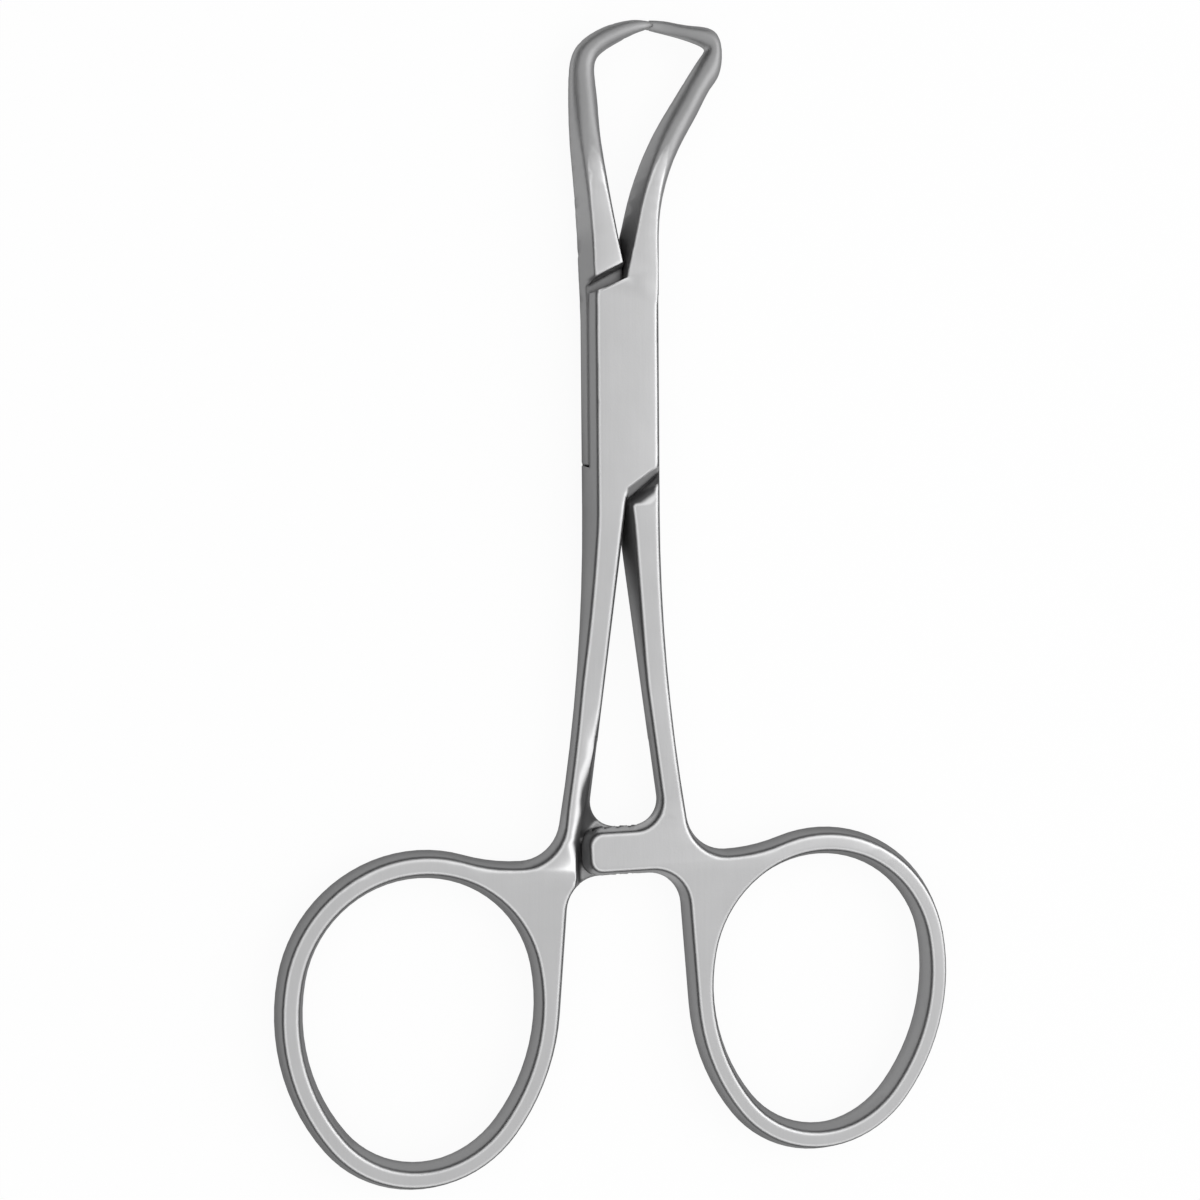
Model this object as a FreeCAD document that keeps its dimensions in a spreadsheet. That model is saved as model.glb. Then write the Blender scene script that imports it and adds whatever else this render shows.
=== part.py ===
import FreeCAD, Part
import Sketcher
import math
import os

# Towel clamp with a box lock, ratchet bars and two finger rings, drawn closed.
# Millimetres. X runs across the rings, +Y points to the jaws and Z is the thickness.
# The pivot axis is the Z axis. Each forging is symmetric about its parting plane, which
# lies half the lock's thickness above the surface that the clamp lies on.

V = FreeCAD.Vector
doc = FreeCAD.newDocument("towel_clamp")

SIZES = {
    "lock_half_width": (3.87, "pivot axis to the side of the box lock, at the parting plane"),
    "lock_half_height": (2.45, "parting plane to the front face of the lock"),
    "draft": (20.0, "slope of the forged side walls, degrees"),
    "edge_radius": (0.45, "rounding of the face edges"),
    "grinding": (0.6, "forging above the lock's face that is ground off"),
    "overcut": (1.0, "how far a cut runs past the metal"),
    "blank_low": (12.0, "below the pivot, end of the rectangular lock blank"),
    "blank_high": (11.2, "above the pivot, end of the lock blank"),
    "blank_trim": (9.6, "above the pivot, where the blank is cut off square under the jaw"),
    "tongue_half_height": (1.05, "parting plane to the face of the tongue"),
    "lock_gap": (0.09, "clearance between the tongue and each wall of the box"),
    "slot_radius": (8.95, "pivot to the arc that closes each end of the slot"),
    "slot_gap": (0.3, "clearance between the tongue's arc and the slot's end"),
    "axis_gap": (0.06, "clearance of each half from the axis plane where the halves meet"),
    "box_low": (10.2, "below the pivot, end of the box's wall on the axis plane"),
    "box_low_slope": (34.5, "slope of that end, degrees"),
    "box_high": (9.42, "above the pivot, end of the box's wall on the axis plane"),
    "box_high_slope": (23.2, "slope of that end, degrees"),
    "shoulder_low": (11.45, "below the pivot, shoulder of the tongue half on the axis plane"),
    "shoulder_low_slope": (39.0, "slope of that shoulder, degrees"),
    "shoulder_high": (10.5, "above the pivot, shoulder of the tongue half on the axis plane"),
    "shoulder_high_slope": (27.6, "slope of that shoulder, degrees"),
    "shoulder_lean": (22.0, "lean of both shoulders from the tongue's face outward, degrees"),
    "pin_radius": (1.25, "radius of the pivot pin"),
    "pin_gap": (0.05, "radial running clearance of the pin in the tongue"),
    "shank_start": (12.4, "below the pivot, where the shank leaves the lock's side"),
    "shank_bow": (174.0, "radius of the shank's outer side"),
    "crotch": (15.7, "below the pivot, where the shanks' inner sides meet the axis plane"),
    "shank_spread": (7.78, "angle of the shank's inner side to the axis plane, degrees"),
    "shank_half_height": (1.1, "half the thickness of the shank"),
    "shank_thin_start": (28.5, "below the pivot, where the shank has thinned to that"),
    "shank_thin_step": (0.8, "end of the lock blank's side to the start of the thinning"),
    "thinning_bend": (30.0, "rounding of the side profile at both ends of the thinning"),
    "saddle": (45.25, "below the pivot, the lowest point between shank and ring"),
    "saddle_radius": (3.9, "hollow fillet from the shank to the saddle"),
    "ring_x": (20.1, "axis plane to the middle of the finger ring"),
    "ring_drop": (11.95, "saddle to the centre of the ring's top arc"),
    "ring_length": (6.8, "centre of the top arc to that of the bottom arc"),
    "hole_top_radius": (10.9, "radius of the finger hole's top arc"),
    "hole_bottom_radius": (9.1, "radius of its bottom arc"),
    "hole_side_radius": (17.9, "radius of its side arcs"),
    "ring_bar": (2.65, "width of the ring's bar at the parting plane"),
    "ring_half_height": (1.6, "half the thickness of the ring"),
    "ring_thin_start": (1.35, "below the saddle, where the side profile has reached the ring"),
    "ring_thin_end": (5.05, "above the saddle, where it has thinned to the shank"),
    "ring_thin_bend": (14.0, "rounding of the side profile there"),
    "web_lean": (4.5, "angle of the web's inner side to the axis plane, degrees"),
    "web_fillet": (3.3, "hollow fillet under the ratchet bar"),
    "bar_rise": (2.85, "saddle to the upper edge of the ratchet bar"),
    "bar_height": (4.75, "width of the ratchet bar"),
    "bar_reach": (4.2, "axis plane to the tip of the bar, on the other half's side"),
    "bar_corner": (1.7, "rounding of the bar's tip"),
    "crotch_fillet": (2.4, "hollow fillet between the bar and its own shank"),
    "recess_gap": (0.2, "clearance between the bar's tip and the other half's wall"),
    "recess_bend": (1.1, "upper edge of the bar to the bend of that wall"),
    "recess_end": (11.0, "saddle to where that wall runs out on the shank's inner side"),
    "recess_fall": (2.4, "lower edge of the bar to the end of the recess"),
    "recess_draft": (30.0, "slope of that wall, degrees"),
    "bar_gap": (0.05, "parting plane to the tips of the teeth"),
    "tooth_pitch": (1.2, "pitch of the ratchet teeth"),
    "tooth_depth": (0.45, "depth of the ratchet teeth"),
    "tooth_land": (0.05, "flat left on each tooth's tip"),
    "tooth_count": (4, "number of tooth spaces on each bar"),
    "tooth_inset": (0.95, "tip of the bar to the first tooth space"),
    "pattern_half_width": (1.775, "half the width and height of the section that spaces the skin"),
    "jaw_root": (6.0, "above the pivot, start of the jaws inside the lock"),
    "jaw_flat_end": (12.8, "above the pivot, where the jaws' ground face leaves the lock's plane"),
    "jaw_flat_bend": (24.0, "rounding of the ground face there"),
    "jaw_flat_reach": (27.0, "above the pivot, a second point of the ground face"),
    "jaw_flat_overrun": (1.5, "ground face beyond that point, until it leaves the jaws"),
    "jaw_flat_half_height": (1.62, "parting plane to the ground face there"),
    "left_root_x": (1.18, "axis plane to the middle of the left jaw at its root"),
    "left_knee_x": (3.35, "axis plane to the left jaw's slight bend"),
    "left_knee_y": (23.0, "above the pivot, the same bend"),
    "left_knee_bend": (30.0, "its radius"),
    "left_crook_x": (3.66, "axis plane to the corner where the left jaw turns into its horn"),
    "left_crook_y": (30.62, "above the pivot, the same corner"),
    "left_crook_bend": (3.2, "its radius"),
    "left_horn_x": (-0.9, "axis plane to the left horn's slight bend"),
    "left_horn_y": (32.95, "above the pivot, the same bend"),
    "left_horn_bend": (9.0, "its radius"),
    "left_point_x": (-3.45, "axis plane to the left horn's point, on the other side"),
    "left_point_y": (33.32, "above the pivot, the same point"),
    "right_root_x": (1.1, "axis plane to the middle of the right jaw at its root"),
    "right_knee_x": (2.75, "axis plane to the right jaw's bend"),
    "right_knee_y": (19.3, "above the pivot, the same bend"),
    "right_knee_bend": (25.0, "its radius"),
    "right_crook_x": (10.4, "axis plane to the corner where the right jaw turns into its horn"),
    "right_crook_y": (31.98, "above the pivot, the same corner"),
    "right_crook_bend": (1.35, "its radius"),
    "right_horn_x": (5.3, "axis plane to the right horn's slight bend"),
    "right_horn_y": (33.15, "above the pivot, the same bend"),
    "right_horn_bend": (12.0, "its radius"),
    "right_point_x": (1.5, "axis plane to the right horn's point"),
    "right_point_y": (33.45, "above the pivot, the same point"),
}

# Stations along the jaws, from the root inside the lock to the horn's point: part of the
# way along the jaw's middle line, half the width, half the thickness, how far the middle
# lies in front of the parting plane, and how far the section has turned from the flat
# faced blank (0) into an ellipse (1).
JAWS = {
    "left": [
        (0.00, 2.70, 2.38, 0.00, 0.0),
        (0.06, 2.52, 2.52, 0.00, 0.0),
        (0.13, 2.32, 2.58, 0.00, 0.0),
        (0.22, 2.06, 2.50, 0.00, 0.0),
        (0.32, 1.83, 2.28, 0.00, 0.0),
        (0.43, 1.64, 2.02, 0.00, 0.1),
        (0.54, 1.48, 1.74, 0.00, 0.5),
        (0.63, 1.35, 1.46, 0.00, 1.0),
        (0.70, 1.22, 1.22, 0.00, 1.0),
        (0.76, 1.11, 1.12, 0.00, 1.0),
        (0.83, 0.98, 1.05, 0.02, 1.0),
        (0.89, 0.84, 0.78, 0.18, 1.0),
        (0.94, 0.62, 0.40, 0.41, 1.0),
        (0.98, 0.36, 0.24, 0.29, 1.0),
        (1.00, 0.12, 0.10, 0.15, 1.0),
    ],
    "right": [
        (0.00, 2.76, 2.38, 0.00, 0.0),
        (0.06, 2.56, 2.52, 0.00, 0.0),
        (0.12, 2.32, 2.58, 0.00, 0.0),
        (0.20, 1.96, 2.50, 0.00, 0.0),
        (0.29, 1.67, 2.28, 0.00, 0.0),
        (0.39, 1.49, 2.03, 0.00, 0.2),
        (0.49, 1.38, 1.75, 0.00, 0.7),
        (0.58, 1.30, 1.50, 0.00, 1.0),
        (0.66, 1.22, 1.26, 0.00, 1.0),
        (0.72, 1.10, 1.14, 0.00, 1.0),
        (0.78, 0.92, 1.06, 0.00, 1.0),
        (0.84, 0.74, 0.88, -0.10, 1.0),
        (0.91, 0.62, 0.38, -0.43, 1.0),
        (0.96, 0.44, 0.26, -0.31, 1.0),
        (1.00, 0.12, 0.10, -0.15, 1.0),
    ],
}
for hand, stations in JAWS.items():
    for number, (at, width, height, offset, turned) in enumerate(stations):
        stem = f"{hand}_jaw_{number}"
        SIZES[stem + "_at"] = (at, "part of the way along the jaw's middle line")
        SIZES[stem + "_width"] = (width, "half the jaw's width there")
        SIZES[stem + "_height"] = (height, "half the jaw's thickness there")
        SIZES[stem + "_offset"] = (offset, "parting plane to the jaw's middle there")
        SIZES[stem + "_turned"] = (turned, "flat faced section 0, ellipse 1")

sheet = doc.addObject("Spreadsheet::Sheet", "sizes")
for row, (name, (value, note)) in enumerate(SIZES.items(), 1):
    sheet.set(f"A{row}", name)
    sheet.set(f"B{row}", str(value))
    sheet.set(f"C{row}", note)
    sheet.setAlias(f"B{row}", name)
doc.recompute()


def size(name):
    return float(getattr(sheet, name))


def tan(degrees):
    return math.tan(math.radians(degrees))


# Plane outlines: lines and tangent arcs worked out from the sheet.


def line(start, end):
    return Part.LineSegment(V(*start, 0), V(*end, 0))


def arc(centre, start, end, clockwise=False):
    """The arc about centre from start to end."""
    radius = math.dist(centre, start)
    first = math.atan2(start[1] - centre[1], start[0] - centre[0])
    last = math.atan2(end[1] - centre[1], end[0] - centre[0])
    if clockwise:
        first, last = last, first
    if last <= first:
        last += 2 * math.pi
    return Part.ArcOfCircle(Part.Circle(V(*centre, 0), V(0, 0, 1), radius), first, last)


def rounded(corners, closed=True):
    """Lines through the corners (x, y, radius), each corner rounded by a tangent arc."""
    count = len(corners)
    parts = []
    first = last = None
    for i, (x, y, radius) in enumerate(corners):
        enter = leave = (x, y)
        bend = None
        if radius and (closed or 0 < i < count - 1):
            before, after = corners[i - 1], corners[(i + 1) % count]
            ux, uy = before[0] - x, before[1] - y
            wx, wy = after[0] - x, after[1] - y
            lu, lw = math.hypot(ux, uy), math.hypot(wx, wy)
            ux, uy, wx, wy = ux / lu, uy / lu, wx / lw, wy / lw
            half = math.acos(max(-1.0, min(1.0, ux * wx + uy * wy))) / 2
            reach = radius / math.tan(half)
            enter = (x + ux * reach, y + uy * reach)
            leave = (x + wx * reach, y + wy * reach)
            away = radius / math.sin(half) / math.hypot(ux + wx, uy + wy)
            centre = (x + (ux + wx) * away, y + (uy + wy) * away)
            bend = arc(centre, enter, leave, clockwise=uy * wx - ux * wy < 0)
        if last is None:
            first = enter
        else:
            parts.append(line(last, enter))
        if bend is not None:
            parts.append(bend)
        last = leave
    if closed:
        parts.append(line(last, first))
    return parts


def toward(centre, target, radius):
    """The point of a circle about centre that lies in the direction of target."""
    part = radius / math.dist(centre, target)
    return (
        centre[0] + (target[0] - centre[0]) * part,
        centre[1] + (target[1] - centre[1]) * part,
    )


def ring_centres():
    """Centres of the ring's four tangent arcs: top, outer side, bottom, inner side."""
    top = (size("ring_x"), -size("saddle") - size("ring_drop"))
    bottom = (top[0], top[1] - size("ring_length"))
    a = size("hole_side_radius") - size("hole_top_radius")
    b = size("hole_side_radius") - size("hole_bottom_radius")
    span = top[1] - bottom[1]
    drop = (span**2 + a**2 - b**2) / (2 * span)
    aside = math.sqrt(a**2 - drop**2)
    level = top[1] - drop
    return top, (top[0] - aside, level), bottom, (top[0] + aside, level)


def finger_hole():
    """The right half's finger hole."""
    top, outer, bottom, inner = ring_centres()
    r = size("hole_side_radius")
    p1 = toward(outer, top, r)
    p2 = toward(outer, bottom, r)
    p3 = toward(inner, bottom, r)
    p4 = toward(inner, top, r)
    return [arc(top, p1, p4), arc(inner, p4, p3), arc(bottom, p3, p2), arc(outer, p2, p1)]


def handle_arcs():
    """The right handle's outer side from the lock to the foot of the web, and that foot."""
    bar = size("ring_bar")
    top, outer, bottom, inner = ring_centres()
    side_r = size("hole_side_radius") + bar
    start = (size("lock_half_width"), -size("shank_start"))
    bow = (start[0] + size("shank_bow"), start[1])
    saddle_y = -size("saddle")
    near = size("saddle_radius")
    near_y = saddle_y + near
    near_x = bow[0] - math.sqrt((size("shank_bow") - near) ** 2 - (near_y - bow[1]) ** 2)
    near_centre = (near_x, near_y)
    top_r = size("hole_top_radius") + bar
    across = top[0] - near_x
    rise = saddle_y - top[1]
    far = (across**2 + rise**2 - top_r**2) / (2 * (top_r - rise))
    far_centre = (near_x, saddle_y + far)
    saddle = (near_x, saddle_y)
    off_shank = toward(bow, near_centre, size("shank_bow"))
    onto_ring = toward(top, far_centre, top_r)
    p1 = toward(outer, top, side_r)
    p2 = toward(outer, bottom, side_r)
    p3 = toward(inner, bottom, side_r)
    lean = math.radians(size("web_lean"))
    foot = (inner[0] - side_r * math.cos(lean), inner[1] - side_r * math.sin(lean))
    return [
        arc(bow, start, off_shank),
        arc(near_centre, off_shank, saddle),
        arc(far_centre, saddle, onto_ring),
        arc(top, onto_ring, p1, clockwise=True),
        arc(outer, p1, p2, clockwise=True),
        arc(bottom, p2, p3, clockwise=True),
        arc(inner, p3, foot, clockwise=True),
    ], foot


def inner_side(y):
    """Distance of the shank's inner side from the axis plane at height y."""
    return (-size("crotch") - y) * tan(size("shank_spread"))


def bar_top():
    return -size("saddle") + size("bar_rise")


def half_outline():
    """Parting outline of the right half's handle and lock blank."""
    arcs, foot = handle_arcs()
    top = bar_top()
    bottom = top - size("bar_height")
    width = size("lock_half_width")
    low, high = -size("blank_low"), size("blank_high")
    web_x = foot[0] - (bottom - foot[1]) * tan(size("web_lean"))
    reach = -size("bar_reach")
    corner = size("bar_corner")
    path = [
        (foot[0], foot[1], 0),
        (web_x, bottom, size("web_fillet")),
        (reach, bottom, corner),
        (reach, top, corner),
        (inner_side(top), top, size("crotch_fillet")),
        (inner_side(low), low, 0),
        (-width, low, 0),
        (-width, high, 0),
        (width, high, 0),
        (width, -size("shank_start"), 0),
    ]
    return arcs + rounded(path, closed=False)


def ground_profile():
    """Side view of what is ground off the front: ring, thin shank, lock, and the jaws."""
    lock = size("lock_half_height")
    shank = size("shank_half_height")
    ring = size("ring_half_height")
    saddle = -size("saddle")
    above = lock + size("grinding") + size("overcut")
    far = saddle - 2 * size("ring_drop") - 4 * size("ring_length")
    reach = size("jaw_flat_reach")
    flat_end = size("jaw_flat_end")
    fall = (lock - size("jaw_flat_half_height")) / (reach - flat_end)
    beyond = reach + size("jaw_flat_overrun")
    return rounded([
        (far, ring, 0),
        (saddle - size("ring_thin_start"), ring, size("ring_thin_bend")),
        (saddle + size("ring_thin_end"), shank, size("ring_thin_bend")),
        (-size("shank_thin_start"), shank, size("thinning_bend")),
        (-size("shank_start") - size("shank_thin_step"), lock, size("thinning_bend")),
        (flat_end, lock, size("jaw_flat_bend")),
        (beyond, lock - fall * (beyond - flat_end), 0),
        (beyond, above, 0),
        (far, above, 0),
    ])


def on_back(geometry):
    """The same curves on the other side of the parting plane."""
    turned = []
    for curve in geometry:
        ends = curve.FirstParameter, curve.LastParameter
        middle = (ends[0] + ends[1]) / 2
        points = [curve.value(t) for t in (ends[0], middle, ends[1])]
        points = [V(p.x, -p.y, 0) for p in points]
        if isinstance(curve, Part.LineSegment):
            turned.append(Part.LineSegment(points[0], points[2]))
        else:
            turned.append(Part.Arc(*points))
    return turned


def jaw_line(hand):
    """Points at equal steps along the jaw's middle line."""
    corners = [(size(hand + "_root_x"), size("jaw_root"), 0)]
    for bend in ("knee", "crook", "horn"):
        stem = f"{hand}_{bend}"
        corners.append((size(stem + "_x"), size(stem + "_y"), size(stem + "_bend")))
    corners.append((size(hand + "_point_x"), size(hand + "_point_y"), 0))
    if hand == "left":
        corners = [(-x, y, r) for x, y, r in corners]
    wire = Part.Wire([curve.toShape() for curve in rounded(corners, closed=False)])
    return wire.discretize(Number=801)


def flat_faced_quarter(width, height):
    """Points from the side to the front: a wall at the draft angle, an arc, a flat front."""
    lean = math.radians(size("draft"))
    r = size("edge_radius")
    cx = width - (height - r) * math.tan(lean) - r / math.cos(lean)
    cz = height - r
    start = (cx + r * math.cos(lean), cz + r * math.sin(lean))
    points = [(width + (start[0] - width) * k / 4, start[1] * k / 4) for k in range(4)]
    for k in range(5):
        a = lean + (math.pi / 2 - lean) * k / 4
        points.append((cx + r * math.cos(a), cz + r * math.sin(a)))
    return points + [(cx * (1 - k / 3), height) for k in (1, 2, 3)]


def section(width, height, turned):
    """Closed curve of a jaw section; all sections share one spacing of parameters.

    Each point of the flat faced section has a twin on the ellipse of the same width and
    height, at the angle that it has on a middling section, and turned says how far the
    point has moved to that twin.
    """
    middling = size("pattern_half_width")
    pattern = flat_faced_quarter(middling, middling)
    quarter = []
    for number, (x, z) in enumerate(pattern):
        a = math.atan2(z, x)
        x, z = width * math.cos(a), height * math.sin(a)
        if turned < 1:
            flat_x, flat_z = flat_faced_quarter(width, height)[number]
            x, z = flat_x + turned * (x - flat_x), flat_z + turned * (z - flat_z)
        quarter.append((x, z))

    def whole(quarter):
        upper = quarter + [(-x, z) for x, z in reversed(quarter[:-1])]
        return upper + [(x, -z) for x, z in reversed(upper[1:-1])]

    spacing = whole(pattern)
    marks = [0.0]
    for a, b in zip(spacing, spacing[1:] + spacing[:1]):
        marks.append(marks[-1] + math.sqrt(math.dist(a, b)))
    curve = Part.BSplineCurve()
    points = [V(x, z, 0) for x, z in whole(quarter)]
    curve.interpolate(Points=points, PeriodicFlag=True, Parameters=marks)
    return curve


def jaw_solid(hand):
    """The jaw and horn: one smooth skin through its sections, closed by flat ends.

    The sections' poles are joined lengthways by curves that share one spacing, so the
    skin is the tensor product of the two.
    """
    points = jaw_line(hand)
    rows, marks = [], []
    for number in range(len(JAWS[hand])):
        key = f"{hand}_jaw_{number}_"
        index = round(size(key + "at") * (len(points) - 1))
        before = points[max(0, index - 1)]
        after = points[min(len(points) - 1, index + 1)]
        ahead = after.sub(before).normalize()
        across = V(ahead.y, -ahead.x, 0)
        middle = points[index].add(V(0, 0, size(key + "offset")))
        curve = section(size(key + "width"), size(key + "height"), size(key + "turned"))
        rows.append([middle + across * pole.x + V(0, 0, pole.y) for pole in curve.getPoles()])
        marks.append(size(key + "at"))
    columns = []
    for column in zip(*rows):
        lengthways = Part.BSplineCurve()
        lengthways.interpolate(Points=list(column), Parameters=marks)
        columns.append(lengthways.getPoles())
    net = [list(row) for row in zip(*columns)]
    skin = Part.BSplineSurface()
    skin.buildFromPolesMultsKnots(
        net,
        lengthways.getMultiplicities(),
        curve.getMultiplicities(),
        lengthways.getKnots(),
        curve.getKnots(),
        False,
        True,
        lengthways.Degree,
        curve.Degree,
    )
    side = skin.toShape()
    caps = [Part.Face(Part.Wire([edge])) for edge in side.Edges if edge.isClosed()]
    shell = Part.Shell([side] + caps)
    shell.sewShape()
    solid = Part.Solid(Part.Shell(shell.Faces))
    if solid.Volume < 0:
        solid.reverse()
    return solid


# Features


def plane(body, role):
    for feature in body.Origin.OriginFeatures:
        if feature.Role == role:
            return feature
    raise RuntimeError("no plane " + role)


def sketch(body, name, role, geometry, offset=None):
    made = body.newObject("Sketcher::SketchObject", f"{body.Name}_{name}")
    made.AttachmentSupport = [(plane(body, role), "")]
    made.MapMode = "FlatFace"
    if offset is not None:
        made.AttachmentOffset = offset
    made.addGeometry(geometry, False)
    return made


def pocket(body, name, profile, length, both=True, reverse=False, taper=None):
    made = body.newObject("PartDesign::Pocket", f"{body.Name}_{name}")
    made.Profile = profile
    made.SideType = "Symmetric" if both else "One side"
    made.Reversed = reverse
    if taper is not None:
        made.setExpression("TaperAngle", taper)
    if isinstance(length, str):
        made.setExpression("Length", length)
    else:
        made.Length = length
    doc.recompute()
    return made


def face_edges(shape):
    """Names of the edges between a front or back face and a side wall."""
    uses = {}
    for face in shape.Faces:
        u0, u1, v0, v1 = face.ParameterRange
        normal = face.normalAt((u0 + u1) / 2, (v0 + v1) / 2)
        for edge in face.Edges:
            uses.setdefault(edge.hashCode(), set()).add(abs(normal.z) > 0.8)
    return [
        f"Edge{number}"
        for number, edge in enumerate(shape.Edges, 1)
        if uses[edge.hashCode()] == {True, False}
    ]


def forging():
    """The right half's drafted blank with its finger hole, ground to the side profile."""
    body = doc.addObject("PartDesign::Body", "right_forging")
    outline = sketch(body, "outline", "XY_Plane", half_outline())
    blank = body.newObject("PartDesign::Pad", body.Name + "_blank")
    blank.Profile = outline
    blank.SideType = "Two sides"
    blank.setExpression("Length", "sizes.lock_half_height + sizes.grinding")
    blank.setExpression("Length2", "sizes.lock_half_height + sizes.grinding")
    blank.setExpression("TaperAngle", "-sizes.draft")
    blank.setExpression("TaperAngle2", "-sizes.draft")
    doc.recompute()
    hole = pocket(body, "ring", sketch(body, "hole", "XY_Plane", finger_hole()), 1.0)
    hole.SideType = "Two sides"
    hole.setExpression("Length", "sizes.lock_half_height + sizes.grinding + sizes.overcut")
    hole.setExpression("Length2", "sizes.lock_half_height + sizes.grinding + sizes.overcut")
    hole.setExpression("TaperAngle", "sizes.draft")
    hole.setExpression("TaperAngle2", "sizes.draft")
    doc.recompute()
    profile = ground_profile()
    side_view = sketch(body, "side_view", "YZ_Plane", profile + on_back(profile))
    ground = pocket(body, "ground", side_view, "8 * sizes.ring_x")
    softened = body.newObject("PartDesign::Fillet", body.Name + "_softened")
    softened.Base = (ground, face_edges(ground.Shape))
    softened.setExpression("Radius", "sizes.edge_radius")
    doc.recompute()
    wide, trim = 2 * size("lock_half_width"), size("blank_trim")
    corners = [(wide, trim, 0), (wide, 2 * trim, 0), (-wide, 2 * trim, 0), (-wide, trim, 0)]
    end = sketch(body, "end", "XY_Plane", rounded(corners))
    pocket(body, "trimmed", end, "8 * sizes.lock_half_height")
    return body


def with_jaw(name, blank, hand):
    """The node's body: its forging fused with its jaw, whose flats are ground next."""
    jaw = doc.addObject("Part::Feature", name + "_jaw")
    jaw.Shape = jaw_solid(hand)
    joined = doc.addObject("Part::Fuse", name + "_joined")
    joined.Base = blank
    joined.Tool = jaw
    doc.recompute()
    body = doc.addObject("PartDesign::Body", name)
    body.Label = name
    body.BaseFeature = joined
    doc.recompute()
    profile = ground_profile()
    side_view = sketch(body, "jaw_side_view", "YZ_Plane", profile + on_back(profile))
    pocket(body, "jaw_ground", side_view, "8 * sizes.ring_x")
    return body


def beyond_end(low, slope, side):
    """The region past a sloped end on the other half's side, below it or above it."""
    gap = size("axis_gap")
    far = 3 * size("lock_half_width")
    points = [
        (-gap, -low - gap * tan(slope), 0),
        (-gap, -4 * low, 0),
        (far, -4 * low, 0),
        (far, -low + far * tan(slope), 0),
    ]
    if side > 0:
        points = [(-x, -y, r) for x, y, r in points]
    return rounded(points)


def wrong_side(radius, side):
    """Outside the arc of that radius, on the half's wrong side below and above the pivot."""
    gap = size("axis_gap")
    rim = math.sqrt(radius**2 - gap**2)
    wide, tall = 3 * size("lock_half_width"), 3 * radius
    points = [(gap, -tall), (-wide, -tall), (-wide, 0), (-radius, 0)]
    made = []
    for turn in (1, -1):
        corners = [(turn * x, turn * y) for x, y in points]
        start, end = (-turn * radius, 0), (turn * gap, -turn * rim)
        made.append(arc((0, 0), start, end))
        made.append(line(end, corners[0]))
        made += [line(a, b) for a, b in zip(corners, corners[1:])]
    return made


def slot_outline():
    """Plan of the slot: the circle of its ends, and the other half's side beyond it."""
    gap, r = size("axis_gap"), size("slot_radius")
    rim = math.sqrt(r**2 - gap**2)
    wide, tall = 3 * size("lock_half_width"), 1.5 * r
    made = []
    for turn in (1, -1):
        made.append(arc((0, 0), (-turn * r, 0), (-turn * gap, -turn * rim)))
        corners = [(-gap, -rim), (-gap, -tall), (wide, -tall), (wide, 0), (r, 0)]
        corners = [(turn * x, turn * y) for x, y in corners]
        made += [line(a, b) for a, b in zip(corners, corners[1:])]
    return made


def recess_outline():
    """Plan of the tongue: what is thinned between the two shoulders.

    The shoulders lean outward, so the cut widens. Its sides on the axis plane start that
    much further back, where only the other half has metal.
    """
    rise = size("lock_half_height") - size("tongue_half_height")
    gap = size("axis_gap") - rise * tan(size("shoulder_lean"))
    far = 3 * size("lock_half_width")
    low, high = size("shoulder_low"), size("shoulder_high")
    down, up = tan(size("shoulder_low_slope")), tan(size("shoulder_high_slope"))
    return rounded([
        (gap, -2 * low, 0),
        (gap, -low + gap * down, 0),
        (far, -low + far * down, 0),
        (far, 2 * high, 0),
        (-gap, 2 * high, 0),
        (-gap, high - gap * up, 0),
        (-far, high - far * up, 0),
        (-far, -2 * low, 0),
    ])


def ratchet(body, side):
    """Halve the bar's thickness and cut the teeth; the right half's bar lies in front.

    The recess that takes the other half's bar has a sloping wall, which runs out on the
    shank's inner side above the bar.
    """
    tip = -size("bar_reach")
    wall = size("bar_reach") + size("recess_gap")
    beyond = tip - size("overcut")
    below = bar_top() - size("bar_height") - size("recess_fall")
    bend = bar_top() - size("recess_bend")
    top = -size("saddle") + size("recess_end")
    path = [
        (beyond, below, 0),
        (wall, below, 0),
        (wall, bend, 0),
        (inner_side(top), top, 0),
        (beyond, top, 0),
    ]
    path = [(side * x, y, r) for x, y, r in path]
    plan = sketch(body, "bar_plan", "XY_Plane", rounded(path))
    plan.setExpression("AttachmentOffset.Base.z", f"{side} * sizes.bar_gap")
    length = "sizes.lock_half_height"
    pocket(body, "bar_recess", plan, length, False, side < 0, "sizes.recess_draft")
    face, depth = size("bar_gap"), size("tooth_depth")
    teeth = []
    for number in range(int(size("tooth_count"))):
        x = tip + size("tooth_inset") + number * size("tooth_pitch")
        end = x + size("tooth_pitch") - size("tooth_land")
        corners = [(x, face / 2, 0), (x, face + depth, 0), (end, face / 2, 0)]
        teeth += rounded([(side * a, side * z, r) for a, z, r in corners])
    saw = sketch(body, "teeth", "XZ_Plane", teeth)
    pocket(body, "tooth_spaces", saw, "2 * sizes.saddle", both=False)


def pin_hole(body, radius):
    circle = sketch(body, "pin_circle", "XY_Plane", [Part.Circle(V(0, 0, 0), V(0, 0, 1), 1)])
    circle.addConstraint(Sketcher.Constraint("Radius", 0, 1.0))
    circle.setExpression("Constraints[0]", radius)
    pocket(body, "pin_hole", circle, "8 * sizes.lock_half_height")


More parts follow.
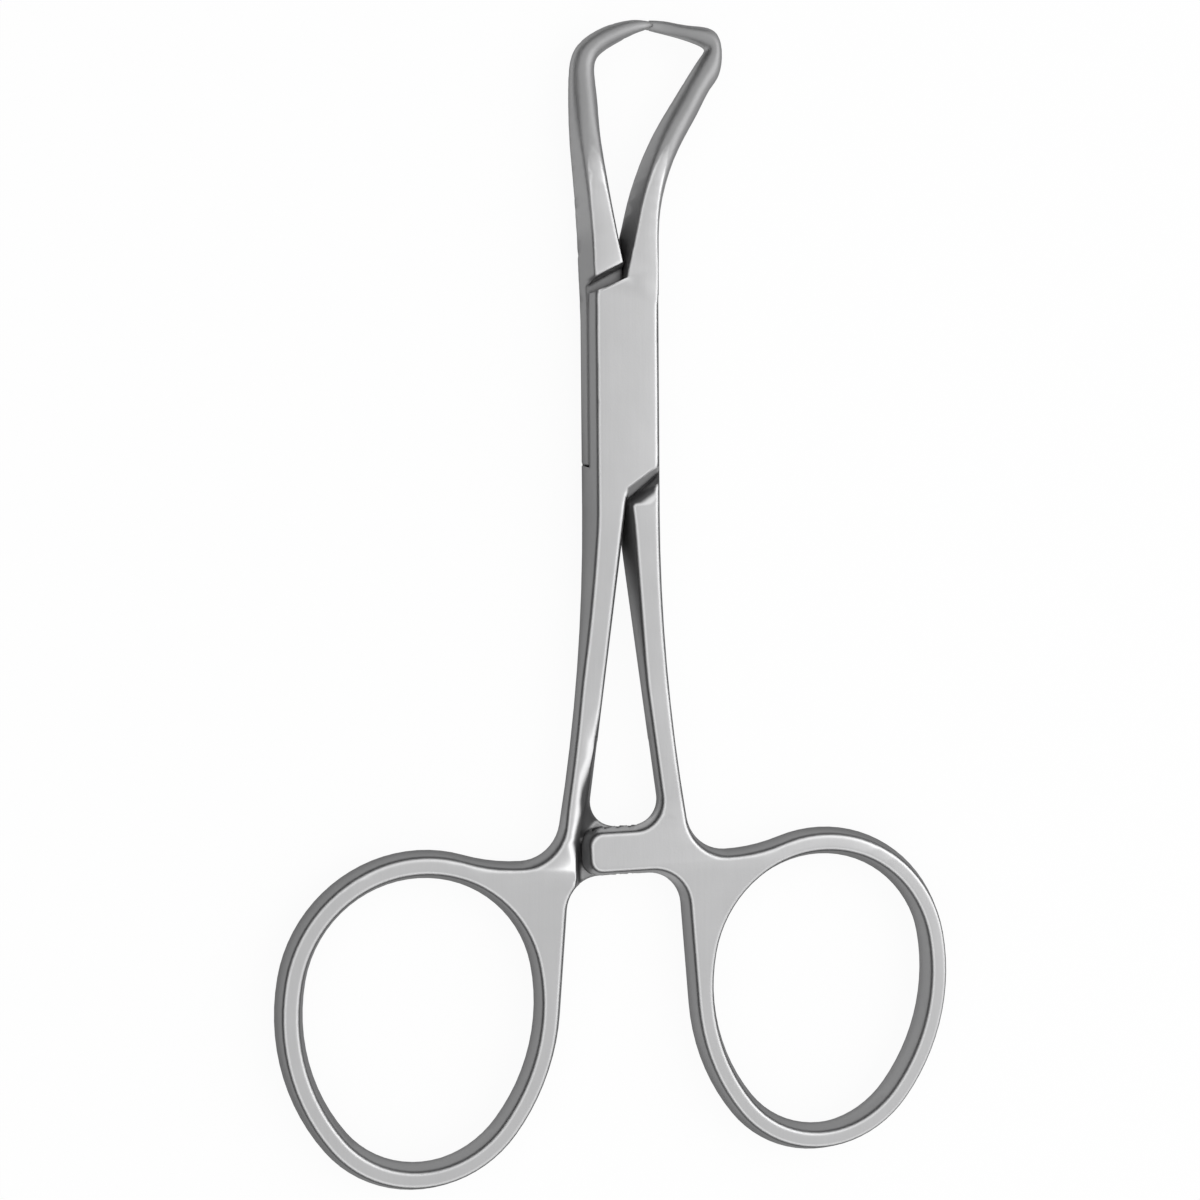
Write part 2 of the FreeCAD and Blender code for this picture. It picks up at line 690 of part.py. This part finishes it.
def make_box_half(forged):
    """Two walls with the slot between them, open at both sides of the lock."""
    blank = doc.addObject("Part::Mirroring", "left_forging")
    blank.Source = forged
    blank.Normal = V(1, 0, 0)
    body = with_jaw("box_half", blank, "right")
    low = beyond_end(size("box_low"), size("box_low_slope"), -1)
    high = beyond_end(size("box_high"), size("box_high_slope"), 1)
    ends = sketch(body, "ends", "XY_Plane", low + high)
    pocket(body, "end_cut", ends, "8 * sizes.lock_half_height")
    slot = sketch(body, "slot", "XY_Plane", slot_outline())
    pocket(body, "slot_cut", slot, "2 * (sizes.tongue_half_height + sizes.lock_gap)")
    ratchet(body, -1)
    pin_hole(body, "sizes.pin_radius")
    return body


def make_tongue_half(forged):
    """The half that passes through the slot, thinned there to a tongue."""
    body = with_jaw("tongue_half", forged, "left")
    sides = sketch(body, "wrong_side", "XY_Plane", wrong_side(size("slot_radius") - size("slot_gap"), 1))
    pocket(body, "side_cut", sides, "8 * sizes.lock_half_height")
    for side, word in ((1, "front"), (-1, "back")):
        plan = sketch(body, word + "_recess", "XY_Plane", recess_outline())
        plan.setExpression("AttachmentOffset.Base.z", f"{side} * sizes.tongue_half_height")
        length = "sizes.lock_half_height"
        pocket(body, word + "_cut", plan, length, False, side > 0, "sizes.shoulder_lean")
    ratchet(body, 1)
    pin_hole(body, "sizes.pin_radius + sizes.pin_gap")
    return body


forged = forging()
box = make_box_half(forged)
tongue = make_tongue_half(forged)
pin = doc.addObject("Part::Cylinder", "pivot_pin")
pin.Label = "pivot_pin"
pin.setExpression("Radius", "sizes.pin_radius")
pin.setExpression("Height", "2 * sizes.lock_half_height")
for body in (box, tongue):
    body.setExpression("Placement.Base.z", "sizes.lock_half_height")
doc.recompute()

for obj in doc.Objects:
    if "Invalid" in obj.State or "Error" in obj.State:
        raise RuntimeError(f"{obj.Name}: {obj.State}")
os.makedirs("parts", exist_ok=True)
for node in (box, tongue, pin):
    shape = node.Shape
    if shape.isNull() or not shape.isValid() or len(shape.Solids) != 1:
        raise RuntimeError(f"{node.Label}: not one valid solid")
    shape.exportStep("parts/" + node.Label + ".step")
    print(node.Label, round(shape.Volume, 1), shape.BoundBox)
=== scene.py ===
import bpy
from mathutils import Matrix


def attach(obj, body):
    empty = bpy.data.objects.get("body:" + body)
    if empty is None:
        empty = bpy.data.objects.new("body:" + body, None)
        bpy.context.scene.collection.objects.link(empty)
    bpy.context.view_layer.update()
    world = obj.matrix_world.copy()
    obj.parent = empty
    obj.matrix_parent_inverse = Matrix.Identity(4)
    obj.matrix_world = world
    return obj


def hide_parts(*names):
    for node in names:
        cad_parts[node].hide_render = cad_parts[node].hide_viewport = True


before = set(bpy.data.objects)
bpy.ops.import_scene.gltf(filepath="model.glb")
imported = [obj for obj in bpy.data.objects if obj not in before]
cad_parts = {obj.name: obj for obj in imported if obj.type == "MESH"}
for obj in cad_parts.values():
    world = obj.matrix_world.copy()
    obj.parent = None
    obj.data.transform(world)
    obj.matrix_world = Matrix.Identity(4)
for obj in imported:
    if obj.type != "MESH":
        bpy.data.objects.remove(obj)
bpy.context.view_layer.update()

import math

import bmesh
import bpy
import numpy as np
from mathutils import Matrix, Vector

scene = bpy.context.scene

# Lengths are in metres. The pivot's axis is at X 0 and Y 0, and +Y points to the jaws.
# The halves part at this height. The lock's ground faces are as far above and below it.
PARTING = 0.00245

# The ratchet: the bars' reach in Y, and the tooth spaces, counted from the bar's tip in X.
BAR_SPAN = (-0.0482, -0.0414)
TOOTH_COUNT = 4
TOOTH_PITCH = 0.0012
TOOTH_LAND = 0.00005
FIRST_TOOTH = -0.00325
TOOTH_FOOT = 0.000025
TOOTH_DEEP = 0.0005

# Mending the halves: how near a corner is to a groove, which corners are one, and the
# least turn between two faces that is shown as an edge.
NEAR = 0.000004
SAME_PLACE = 0.0000001
SHARP_TURN = math.radians(28)

# Where the surfaces change. A pair is where a smooth step starts and ends. Those of flat,
# line, rim, milled floor and shoulder are sizes of one part of the normal, from 0 to 1.
EDGE_WIDTH = 0.00045
OFF_PIN = (0.0020, 0.0024)
FLAT = (0.972, 0.994)
LINE = (0.84, 0.94)
RIM = (0.37, 0.60)
SLOPE_START = 0.0128
SLOPE = -0.058
BELOW_GROUND = (0.00003, 0.00010)
JAWS = (0.0120, 0.0150)
LOCK_END = 0.0160
LOCK_FLOOR = 0.0013
BAR_FLOOR = 0.0003
MILLED = (0.6, 0.95)
BESIDE_BAR = (0.0045, 0.0070)
PAST_BAR = (0.0026, 0.0045)
SHOULDER = (0.48, 0.62)

# The finish. Noise sizes are counts to the metre. A pair is a share and what it adds to.
GRAIN_COUNT = 6000.0
STROKE_COUNT = 5000.0
STROKE_STRETCH = 0.025
CLOUD_COUNT = 220.0
EDGE_TINT = 0.35
# How much of the painted shade the milled floors take.
RECESS_SHADE_SHARE = 0.9
CLOUD_TONE = (0.10, 0.95)
STROKE_TONE = (0.07, 0.965)
GRAIN_ROUGHNESS = 0.12
STROKE_RELIEF = 0.6
RELIEF = 0.00002

# The set: a white floor, three dark flags, one lamp and a white world.
FLOOR_HALF = 1.6
FLOOR_DROP = 0.00003
FLOOR_WHITE = 0.93
PAPER = ((0.965, 0.965, 0.965), (0.985, 0.985, 0.985))
PAPER_COUNT = 40.0
MATT = 0.9
FLAG_BLACK = (0.03, 0.03, 0.03)
WORLD_STRENGTH = 0.92

# The photograph's view: the camera's place and directions, and its focal length in pixels.
CAMERA_PLACE = (-0.06555, -0.00854, 0.20739)
CAMERA_AHEAD = (0.2950, -0.0570, -0.9538)
CAMERA_UP = (0.0245, 0.9983, -0.0521)
FOCAL_PIXELS = 2266.0
PHOTO_PIXELS = 1200.0
SENSOR_WIDTH = 36.0
CLIP = (0.01, 20.0)


def shader_group(name, inputs, outputs):
    """An empty node group with number inputs (name, value) and outputs (name, kind)."""
    tree = bpy.data.node_groups.new(name, "ShaderNodeTree")
    for label, value in inputs:
        socket = tree.interface.new_socket(name=label, in_out="INPUT", socket_type="NodeSocketFloat")
        socket.default_value = value
    for label, kind in outputs:
        tree.interface.new_socket(name=label, in_out="OUTPUT", socket_type=kind)
    entry = tree.nodes.new("NodeGroupInput")
    leave = tree.nodes.new("NodeGroupOutput")
    return tree, entry, leave


def add(tree, kind, **settings):
    """A new node; settings are its properties, or input values when the name starts with in_."""
    node = tree.nodes.new(kind)
    for key, value in settings.items():
        if key.startswith("in_"):
            node.inputs[key[3:].replace("_", " ")].default_value = value
        else:
            setattr(node, key, value)
    return node


def math_node(tree, operation, first, second=None, third=None):
    """The result of a Math node of first, second and third, each a number or a socket."""
    node = tree.nodes.new("ShaderNodeMath")
    node.operation = operation
    for index, value in enumerate((first, second, third)):
        if value is None:
            continue
        if isinstance(value, (int, float)):
            node.inputs[index].default_value = value
        else:
            tree.links.new(value, node.inputs[index])
    return node.outputs[0]


def satin_grain_group():
    """Satin finish: fine grain with faint strokes along the clamp, and cloudy tone.

    Grain is noise a sixth of a millimetre wide. Strokes are noise a fifth of a millimetre
    wide and forty times as long in Y. Cloud is noise 4.5 mm wide. All read Object
    coordinates.
    """
    tree, entry, leave = shader_group(
        "satin_grain",
        [("Grain Size", GRAIN_COUNT), ("Stroke Width", STROKE_COUNT)],
        [(name, "NodeSocketFloat") for name in ("Grain", "Strokes", "Cloud")],
    )
    coords = add(tree, "ShaderNodeTexCoord")
    grain = add(tree, "ShaderNodeTexNoise", in_Detail=2.0, in_Roughness=0.6)
    tree.links.new(coords.outputs["Object"], grain.inputs["Vector"])
    tree.links.new(entry.outputs["Grain Size"], grain.inputs["Scale"])
    stretch = add(tree, "ShaderNodeMapping")
    stretch.inputs["Scale"].default_value = (1.0, STROKE_STRETCH, 1.0)
    tree.links.new(coords.outputs["Object"], stretch.inputs["Vector"])
    strokes = add(tree, "ShaderNodeTexNoise", in_Detail=3.0, in_Roughness=0.6)
    tree.links.new(stretch.outputs["Vector"], strokes.inputs["Vector"])
    tree.links.new(entry.outputs["Stroke Width"], strokes.inputs["Scale"])
    cloud = add(tree, "ShaderNodeTexNoise", in_Scale=CLOUD_COUNT, in_Detail=3.0, in_Roughness=0.55)
    tree.links.new(coords.outputs["Object"], cloud.inputs["Vector"])
    tree.links.new(grain.outputs["Fac"], leave.inputs["Grain"])
    tree.links.new(strokes.outputs["Fac"], leave.inputs["Strokes"])
    tree.links.new(cloud.outputs["Fac"], leave.inputs["Cloud"])
    return tree


def blend(tree, mask, start, end):
    """A colour between start and end by mask; each is a colour value or a socket.

    A Mix node has its mask on input 0, its colours on inputs 6 and 7 and on output 2.
    """
    mixed = add(tree, "ShaderNodeMix", data_type="RGBA")
    tree.links.new(mask, mixed.inputs[0])
    for index, value in ((6, start), (7, end)):
        if isinstance(value, tuple):
            mixed.inputs[index].default_value = (*value, 1.0)
        else:
            tree.links.new(value, mixed.inputs[index])
    return mixed.outputs[2]


def step(tree, value, low, high):
    """A smooth step of value, 0 at low and 1 at high."""
    ramp = add(tree, "ShaderNodeMapRange", interpolation_type="SMOOTHSTEP")
    ramp.inputs["From Min"].default_value = low
    ramp.inputs["From Max"].default_value = high
    tree.links.new(value, ramp.inputs["Value"])
    return ramp.outputs["Result"]


def forged_surfaces_group():
    """Masks for the clamp's surfaces, from the normal and the place in the piece's own frame.

    The normal is softened over Edge Width, so the face edges look rubbed. Size is the size
    of its Z. Flat is 1 on the ground front and back. Line is 1 on the first part of the
    rounding beside them, where the steel gets a painted highlight, and Rim on the rest of
    it, where it gets painted dark reflection. Past SLOPE_START the ground face slopes back
    by SLOPE, and Horn is 1 in the jaws on what lies below that face.
    Inner is 1 on the milled floors: within LOCK_FLOOR of the parting plane as far as
    LOCK_END from the pivot, and within BAR_FLOOR of it from there to the rings. Bar is 1
    round the ratchet bars and on the lock's sloping shoulders. The pin is ground flush,
    so nothing is softened within 2 mm of the pivot's axis.
    """
    tree, entry, leave = shader_group(
        "forged_surfaces",
        [("Parting Height", PARTING), ("Edge Width", EDGE_WIDTH)],
        [(name, "NodeSocketFloat") for name in ("Flat", "Line", "Rim", "Horn", "Inner", "Bar")]
        + [("Normal", "NodeSocketVector")],
    )
    coords = add(tree, "ShaderNodeTexCoord")
    place = add(tree, "ShaderNodeSeparateXYZ")
    tree.links.new(coords.outputs["Object"], place.inputs[0])
    square = math_node(tree, "MULTIPLY", place.outputs["X"], place.outputs["X"])
    square = math_node(tree, "MULTIPLY_ADD", place.outputs["Y"], place.outputs["Y"], square)
    off_pin = step(tree, math_node(tree, "SQRT", square), *OFF_PIN)
    softened = add(tree, "ShaderNodeBevel", samples=6)
    width = math_node(tree, "MULTIPLY", entry.outputs["Edge Width"], off_pin)
    tree.links.new(width, softened.inputs["Radius"])
    tree.links.new(softened.outputs["Normal"], leave.inputs["Normal"])
    turn = add(tree, "ShaderNodeVectorTransform", vector_type="NORMAL")
    turn.convert_from = "WORLD"
    turn.convert_to = "OBJECT"
    tree.links.new(softened.outputs["Normal"], turn.inputs[0])
    split = add(tree, "ShaderNodeSeparateXYZ")
    tree.links.new(turn.outputs[0], split.inputs[0])
    size = math_node(tree, "ABSOLUTE", split.outputs["Z"])
    tree.links.new(step(tree, size, *FLAT), leave.inputs["Flat"])
    tree.links.new(step(tree, size, *LINE), leave.inputs["Line"])
    tree.links.new(step(tree, size, *RIM), leave.inputs["Rim"])
    height = math_node(tree, "SUBTRACT", place.outputs["Z"], entry.outputs["Parting Height"])
    height = math_node(tree, "ABSOLUTE", height)
    past = math_node(tree, "SUBTRACT", place.outputs["Y"], SLOPE_START)
    ground = math_node(tree, "MULTIPLY_ADD", past, SLOPE, PARTING)
    drop = math_node(tree, "SUBTRACT", ground, height)
    under = step(tree, drop, *BELOW_GROUND)
    jaws = step(tree, place.outputs["Y"], *JAWS)
    tree.links.new(math_node(tree, "MULTIPLY", under, jaws), leave.inputs["Horn"])
    deep = math_node(tree, "LESS_THAN", height, LOCK_FLOOR)
    near = math_node(tree, "LESS_THAN", math_node(tree, "ABSOLUTE", place.outputs["Y"]), LOCK_END)
    milled = math_node(tree, "MULTIPLY", deep, near)
    shallow = math_node(tree, "LESS_THAN", height, BAR_FLOOR)
    lower = math_node(tree, "LESS_THAN", place.outputs["Y"], -LOCK_END)
    milled = math_node(tree, "MAXIMUM", milled, math_node(tree, "MULTIPLY", shallow, lower))
    level = step(tree, size, *MILLED)
    tree.links.new(math_node(tree, "MULTIPLY", milled, level), leave.inputs["Inner"])
    aside = math_node(tree, "ABSOLUTE", place.outputs["X"])
    bar_middle = sum(BAR_SPAN) / 2
    along = math_node(tree, "SUBTRACT", place.outputs["Y"], bar_middle)
    along = math_node(tree, "ABSOLUTE", along)
    within = math_node(tree, "SUBTRACT", 1.0, step(tree, aside, *BESIDE_BAR))
    abreast = math_node(tree, "SUBTRACT", 1.0, step(tree, along, *PAST_BAR))
    bars = math_node(tree, "MULTIPLY", within, abreast)
    facing_y = step(tree, math_node(tree, "ABSOLUTE", split.outputs["Y"]), *SHOULDER)
    shoulder = math_node(tree, "MULTIPLY", facing_y, near)
    tree.links.new(math_node(tree, "MAXIMUM", bars, shoulder), leave.inputs["Bar"])
    return tree


GRAIN = satin_grain_group()
SURFACES = forged_surfaces_group()


def steel(name, tones, flat_roughness, wall_roughness, bump):
    """Satin stainless steel: light ground flats with a painted highlight along their edges.

    The rounding beyond that highlight gets painted dark reflection. The forged side walls are
    duller and a darker grey, partly from their finish and partly as painted shade; the round
    jaws are an even middle grey, also partly painted shade; and the milled faces inside the
    lock are dark with painted shade.
    """
    made = bpy.data.materials.new(name)
    made.use_nodes = True
    tree = made.node_tree
    surface = tree.nodes["Principled BSDF"]
    surface.inputs["Metallic"].default_value = 1.0
    surface.inputs["Specular Tint"].default_value = (EDGE_TINT, EDGE_TINT, EDGE_TINT, 1.0)
    grain = add(tree, "ShaderNodeGroup", node_tree=GRAIN)
    masks = add(tree, "ShaderNodeGroup", node_tree=SURFACES)
    # The side walls' darker tone is partly their duller forged finish, partly painted shade.
    side = blend(tree, masks.outputs["Bar"], tones["wall"], tones["bar_side"])
    # Painted dark reflection on the rounding beside the flats' edges.
    beside = blend(tree, masks.outputs["Rim"], side, tones["rim"])
    # Painted highlight along the edges of the flats.
    lined = blend(tree, masks.outputs["Line"], beside, tones["line"])
    ground = blend(tree, masks.outputs["Flat"], lined, tones["flat"])
    # The jaws' middle grey is partly their duller forged finish, partly painted shade.
    horn_side = blend(tree, masks.outputs["Rim"], tones["horn_side"], tones["horn_flank"])
    horn_top = blend(tree, masks.outputs["Line"], horn_side, tones["horn"])
    shaped = blend(tree, masks.outputs["Horn"], ground, horn_top)
    # Painted shade on the milled floors, mixed in by the Inner mask.
    inside = math_node(tree, "MULTIPLY", masks.outputs["Inner"], RECESS_SHADE_SHARE)
    floors = blend(tree, masks.outputs["Bar"], tones["inside"], tones["bar_floor"])
    base = blend(tree, inside, shaped, floors)
    mottle = math_node(tree, "MULTIPLY_ADD", grain.outputs["Cloud"], *CLOUD_TONE)
    fine = math_node(tree, "MULTIPLY_ADD", grain.outputs["Strokes"], *STROKE_TONE)
    tone = math_node(tree, "MULTIPLY", mottle, fine)
    shade = add(tree, "ShaderNodeVectorMath", operation="SCALE")
    tree.links.new(base, shade.inputs[0])
    tree.links.new(tone, shade.inputs["Scale"])
    tree.links.new(shade.outputs[0], surface.inputs["Base Color"])
    rough = add(tree, "ShaderNodeMix", data_type="FLOAT")
    rough.inputs[2].default_value = wall_roughness
    rough.inputs[3].default_value = flat_roughness
    tree.links.new(masks.outputs["Line"], rough.inputs[0])
    spread = (GRAIN_ROUGHNESS, rough.outputs[0])
    varied = math_node(tree, "MULTIPLY_ADD", grain.outputs["Grain"], *spread)
    tree.links.new(varied, surface.inputs["Roughness"])
    deeper = (STROKE_RELIEF, grain.outputs["Grain"])
    relief = math_node(tree, "MULTIPLY_ADD", grain.outputs["Strokes"], *deeper)
    raised = add(tree, "ShaderNodeBump")
    raised.inputs["Strength"].default_value = bump
    raised.inputs["Distance"].default_value = RELIEF
    tree.links.new(relief, raised.inputs["Height"])
    tree.links.new(masks.outputs["Normal"], raised.inputs["Normal"])
    tree.links.new(raised.outputs["Normal"], surface.inputs["Normal"])
    return made


FORGED = {
    "flat": (0.515, 0.515, 0.519),
    # A painted highlight along the edges of the ground flats.
    "line": (0.80, 0.80, 0.805),
    # Painted dark reflection on the rounding beyond that edge highlight.
    "rim": (0.13, 0.13, 0.132),
    # Side walls: darker than the flats, partly from their duller forged finish and partly as painted
    # shade.
    "wall": (0.31, 0.31, 0.313),
    "bar_side": (0.46, 0.46, 0.464),
    # Painted shade on the milled floors by the ratchet bars.
    "bar_floor": (0.24, 0.24, 0.242),
    # The jaws' middle grey: partly their duller forged finish, partly painted shade where their
    # round tops would catch a highlight.
    "horn": (0.33, 0.33, 0.333),
    "horn_flank": (0.33, 0.33, 0.333),
    "horn_side": (0.38, 0.38, 0.383),
    # Painted shade on the milled floors inside the lock.
    "inside": (0.17, 0.17, 0.172),
}

SATIN = steel("satin_steel", FORGED, flat_roughness=0.32, wall_roughness=0.40, bump=0.25)
PIN = steel("pin_steel", FORGED, flat_roughness=0.33, wall_roughness=0.40, bump=0.25)

for name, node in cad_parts.items():
    for place in node.material_slots:
        place.material = PIN if name == "pivot_pin" else SATIN


def tooth_corners(side):
    """X and Z of the three corners of every tooth space, for the half with that side's ring.

    A space starts with a square wall, from TOOTH_FOOT to TOOTH_DEEP off the parting plane,
    and slopes back to TOOTH_FOOT in one pitch less the land.
    """
    starts = FIRST_TOOTH + TOOTH_PITCH * np.arange(TOOTH_COUNT)
    ends = starts + TOOTH_PITCH - TOOTH_LAND
    foot = np.full(TOOTH_COUNT, TOOTH_FOOT)
    deep = np.full(TOOTH_COUNT, TOOTH_DEEP)
    x = side * np.stack([starts, starts, ends], axis=1)
    z = PARTING + side * np.stack([foot, deep, foot], axis=1)
    return x, z


def tooth_cutter(side):
    """One prism for each tooth space: its three corners carried along Y across the bar."""
    x, z = tooth_corners(side)
    low, high = (np.stack([x, np.full_like(x, y), z], axis=2) for y in BAR_SPAN)
    points = np.concatenate([low, high], axis=1).reshape(-1, 3)
    ends = [(0, 1, 2), (3, 5, 4)]
    sides = [(0, 3, 4), (0, 4, 1), (1, 4, 5), (1, 5, 2), (2, 5, 3), (2, 3, 0)]
    prism = np.array(ends + sides)
    faces = (prism[None] + 6 * np.arange(TOOTH_COUNT)[:, None, None]).reshape(-1, 3)
    mesh = bpy.data.meshes.new("tooth_cutter")
    mesh.from_pydata(points.tolist(), [], faces.tolist())
    shape = bmesh.new()
    shape.from_mesh(mesh)
    bmesh.ops.recalc_face_normals(shape, faces=shape.faces)
    shape.to_mesh(mesh)
    shape.free()
    return mesh


def stray_faces(shape, side):
    """The faces of grooves with the tooth spaces' section that run through lock and jaw.

    A face belongs to one when its corners lie within a space's section above the pivot,
    all of them on the square wall, on the foot or on the slope, or on the pivot's plane.
    """
    depth = TOOTH_DEEP - TOOTH_FOOT
    run = TOOTH_PITCH - TOOTH_LAND
    found = []
    for face in shape.faces:
        at = np.array([corner.co for corner in face.verts])
        if at[:, 1].min() < -NEAR:
            continue
        rise = side * (at[:, 2] - PARTING) - TOOTH_FOOT
        along = side * at[:, 0] - FIRST_TOOTH
        number = math.floor((along.mean() + NEAR) / TOOTH_PITCH)
        if number < 0 or number >= TOOTH_COUNT:
            continue
        along = along - number * TOOTH_PITCH
        slope = rise - depth * (1 - along / run)
        inside = along.min() > -NEAR and rise.min() > -NEAR and slope.max() < NEAR
        walls = [np.abs(wall).max() for wall in (along, rise, slope, at[:, 1])]
        if inside and min(walls) < NEAR:
            found.append(face)
    return found


def mended_half(name, body, side):
    """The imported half, with its tooth spaces in the ratchet bar, where the real ones are.

    The grooves that run through the lock and the jaw instead are closed with the faces
    that their mouths need, and the spaces are cut across the bar. Faces that meet at less
    than SHARP_TURN are shaded as one surface, and large faces count most in its normals.
    """
    shape = bmesh.new()
    shape.from_mesh(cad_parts[name].data)
    bmesh.ops.remove_doubles(shape, verts=shape.verts, dist=SAME_PLACE)
    bmesh.ops.delete(shape, geom=stray_faces(shape, side), context="FACES")
    open_edges = [edge for edge in shape.edges if edge.is_boundary]
    filled = bmesh.ops.holes_fill(shape, edges=open_edges, sides=0)["faces"]
    bmesh.ops.triangulate(shape, faces=filled)
    bmesh.ops.recalc_face_normals(shape, faces=shape.faces)
    mesh = bpy.data.meshes.new(name + "_forging")
    shape.to_mesh(mesh)
    shape.free()
    made = bpy.data.objects.new(name + "_forging", mesh)
    scene.collection.objects.link(made)
    cutter = bpy.data.objects.new("tooth_cutter", tooth_cutter(side))
    scene.collection.objects.link(cutter)
    cut = made.modifiers.new("teeth", "BOOLEAN")
    cut.operation = "DIFFERENCE"
    cut.solver = "EXACT"
    cut.object = cutter
    posed = made.evaluated_get(bpy.context.evaluated_depsgraph_get())
    toothed = bpy.data.meshes.new_from_object(posed)
    made.modifiers.clear()
    made.data = toothed
    bpy.data.objects.remove(cutter)
    toothed.materials.clear()
    toothed.materials.append(SATIN)
    toothed.shade_smooth()
    toothed.set_sharp_from_angle(angle=SHARP_TURN)
    even = made.modifiers.new("even_flats", "WEIGHTED_NORMAL")
    even.keep_sharp = True
    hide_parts(name)
    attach(made, body)


mended_half("box_half", "box_arm", -1)
mended_half("tongue_half", "tongue_arm", 1)


def floor():
    """A large flat square under the clamp, just below its resting plane.

    It shows as white to the camera and to glossy and transmitted rays, and its paper still
    takes a share of the shadow.
    """
    mesh = bpy.data.meshes.new("floor")
    turns = ((-1, -1), (1, -1), (1, 1), (-1, 1))
    corners = [(FLOOR_HALF * x, FLOOR_HALF * y, -FLOOR_DROP) for x, y in turns]
    mesh.from_pydata(corners, [], [(0, 1, 2, 3)])
    made = bpy.data.objects.new("floor", mesh)
    scene.collection.objects.link(made)
    paint = bpy.data.materials.new("floor_paper")
    paint.use_nodes = True
    tree = paint.node_tree
    surface = tree.nodes["Principled BSDF"]
    surface.inputs["Roughness"].default_value = MATT
    surface.inputs["Specular IOR Level"].default_value = 0.0
    noise = add(tree, "ShaderNodeTexNoise", in_Scale=PAPER_COUNT, in_Detail=2.0)
    coords = add(tree, "ShaderNodeTexCoord")
    tree.links.new(coords.outputs["Object"], noise.inputs["Vector"])
    paper = blend(tree, noise.outputs["Fac"], *PAPER)
    tree.links.new(paper, surface.inputs["Base Color"])
    white = add(tree, "ShaderNodeEmission", in_Color=(1, 1, 1, 1), in_Strength=1.0)
    rays = add(tree, "ShaderNodeLightPath").outputs
    seen = math_node(tree, "MAXIMUM", rays["Is Camera Ray"], rays["Is Glossy Ray"])
    seen = math_node(tree, "MAXIMUM", seen, rays["Is Transmission Ray"])
    share = math_node(tree, "MULTIPLY", seen, FLOOR_WHITE)
    both = add(tree, "ShaderNodeMixShader")
    tree.links.new(share, both.inputs[0])
    tree.links.new(surface.outputs[0], both.inputs[1])
    tree.links.new(white.outputs[0], both.inputs[2])
    tree.links.new(both.outputs[0], tree.nodes["Material Output"].inputs["Surface"])
    mesh.materials.append(paint)


def flag(name, centre, facing, width, height):
    """A flat dark card beside the set, which the camera itself doesn't see."""
    ahead = (Vector(facing) - Vector(centre)).normalized()
    turn = ahead.to_track_quat("Z", "Y").to_matrix()
    across, up = turn.col[0] * width / 2, turn.col[1] * height / 2
    middle = Vector(centre)
    turns = ((-1, -1), (1, -1), (1, 1), (-1, 1))
    corners = [tuple(middle + x * across + y * up) for x, y in turns]
    mesh = bpy.data.meshes.new(name)
    mesh.from_pydata(corners, [], [(0, 1, 2, 3)])
    made = bpy.data.objects.new(name, mesh)
    scene.collection.objects.link(made)
    made.visible_camera = False
    paint = bpy.data.materials.new(name)
    paint.use_nodes = True
    surface = paint.node_tree.nodes["Principled BSDF"]
    surface.inputs["Base Color"].default_value = (*FLAG_BLACK, 1)
    surface.inputs["Roughness"].default_value = MATT
    surface.inputs["Specular IOR Level"].default_value = 0.0
    mesh.materials.append(paint)


floor()
flag("left_flag", centre=(-0.42, -0.02, 0.10), facing=(0, -0.02, 0), width=0.8, height=0.22)
flag("back_left_flag", centre=(-0.30, 0.34, 0.12), facing=(0, 0.02, 0), width=0.5, height=0.24)
flag("back_flag", centre=(0.05, 0.46, 0.12), facing=(0, 0.02, 0), width=0.4, height=0.22)

world = bpy.data.worlds.new("studio")
scene.world = world
world.use_nodes = True
world.node_tree.nodes["Background"].inputs["Color"].default_value = (1, 1, 1, 1)
world.node_tree.nodes["Background"].inputs["Strength"].default_value = WORLD_STRENGTH


def softbox(name, place, aim, width, height, power):
    """A rectangular lamp at place, pointing at aim."""
    lamp = bpy.data.lights.new(name, "AREA")
    lamp.shape = "RECTANGLE"
    lamp.size = width
    lamp.size_y = height
    lamp.energy = power
    made = bpy.data.objects.new(name, lamp)
    scene.collection.objects.link(made)
    made.location = place
    made.rotation_euler = (Vector(aim) - Vector(place)).to_track_quat("-Z", "Y").to_euler()


softbox(
    "right_softbox",
    place=(0.55, 0.10, 0.50),
    aim=(0, -0.02, 0),
    width=0.5,
    height=0.6,
    power=0.9,
)


def camera():
    """The photograph's camera: it looks along CAMERA_AHEAD, with CAMERA_UP made square to it."""
    data = bpy.data.cameras.new("camera")
    data.sensor_width = SENSOR_WIDTH
    data.lens = SENSOR_WIDTH * FOCAL_PIXELS / PHOTO_PIXELS
    made = bpy.data.objects.new("camera", data)
    scene.collection.objects.link(made)
    ahead = Vector(CAMERA_AHEAD).normalized()
    right = ahead.cross(Vector(CAMERA_UP)).normalized()
    up = right.cross(ahead).normalized()
    made.matrix_world = Matrix((
        (right.x, up.x, -ahead.x, CAMERA_PLACE[0]),
        (right.y, up.y, -ahead.y, CAMERA_PLACE[1]),
        (right.z, up.z, -ahead.z, CAMERA_PLACE[2]),
        (0, 0, 0, 1),
    ))
    data.clip_start, data.clip_end = CLIP
    scene.camera = made


camera()
scene.view_settings.view_transform = "Standard"
